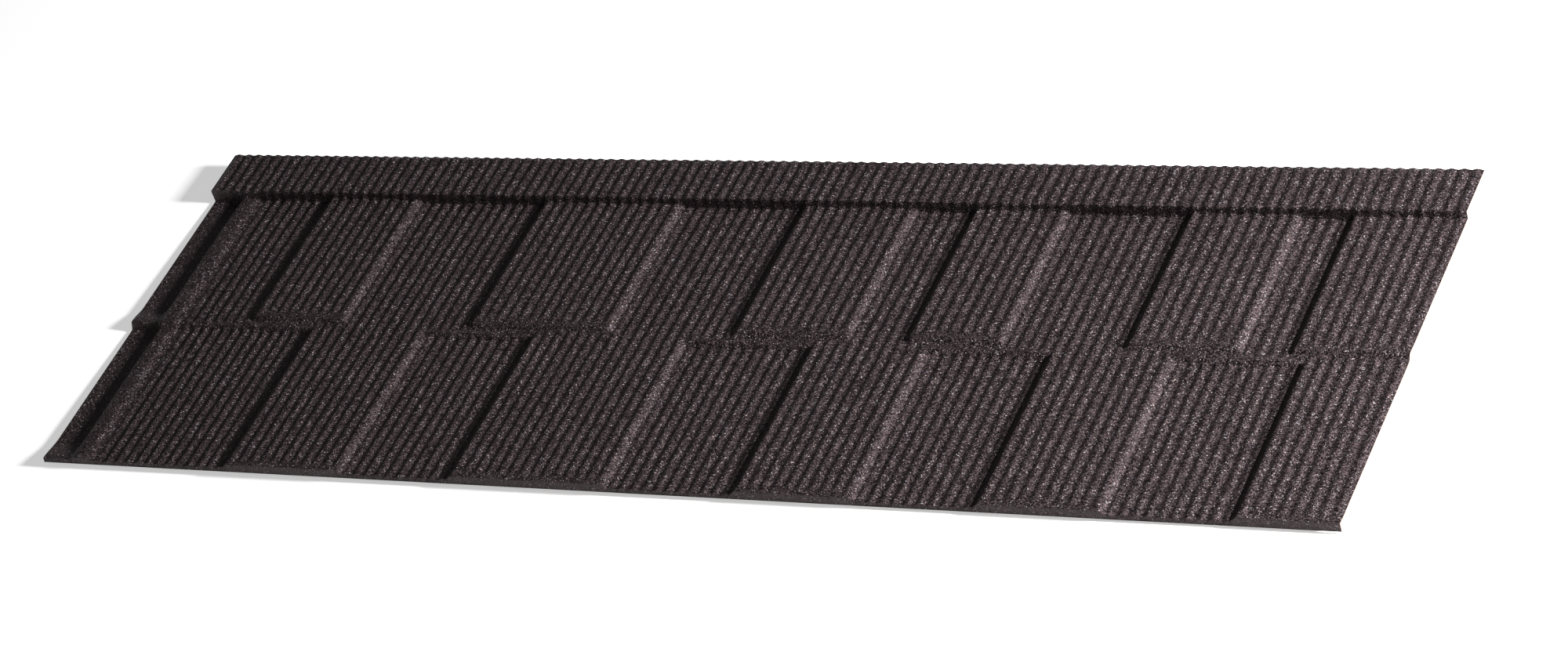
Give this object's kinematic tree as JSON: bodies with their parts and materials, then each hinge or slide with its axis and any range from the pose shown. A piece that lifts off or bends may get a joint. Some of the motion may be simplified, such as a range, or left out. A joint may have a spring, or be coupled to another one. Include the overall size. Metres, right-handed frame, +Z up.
{
  "type": "tile effect metal roofing sheet",
  "caption": "Pressed steel roofing sheet coated with stone chips, with a ribbed back strip, courses of raised tile-like tabs, a left side lap and a turned-down nose.",
  "frame": {"origin": "centre of the sheet's footprint, at floor level", "axes": "+X along the sheet towards its plain right end, +Y up the roof slope towards the back strip, +Z up, out of the weather side"},
  "size_m": [1.34, 0.42, 0.0162],
  "materials": {
    "stone_chip_coat": "matte coat of coarse dark stone chips on pressed steel"
  },
  "bodies": {
    "root": {"roofing_sheet": "stone_chip_coat"}
  },
  "joints": []
}
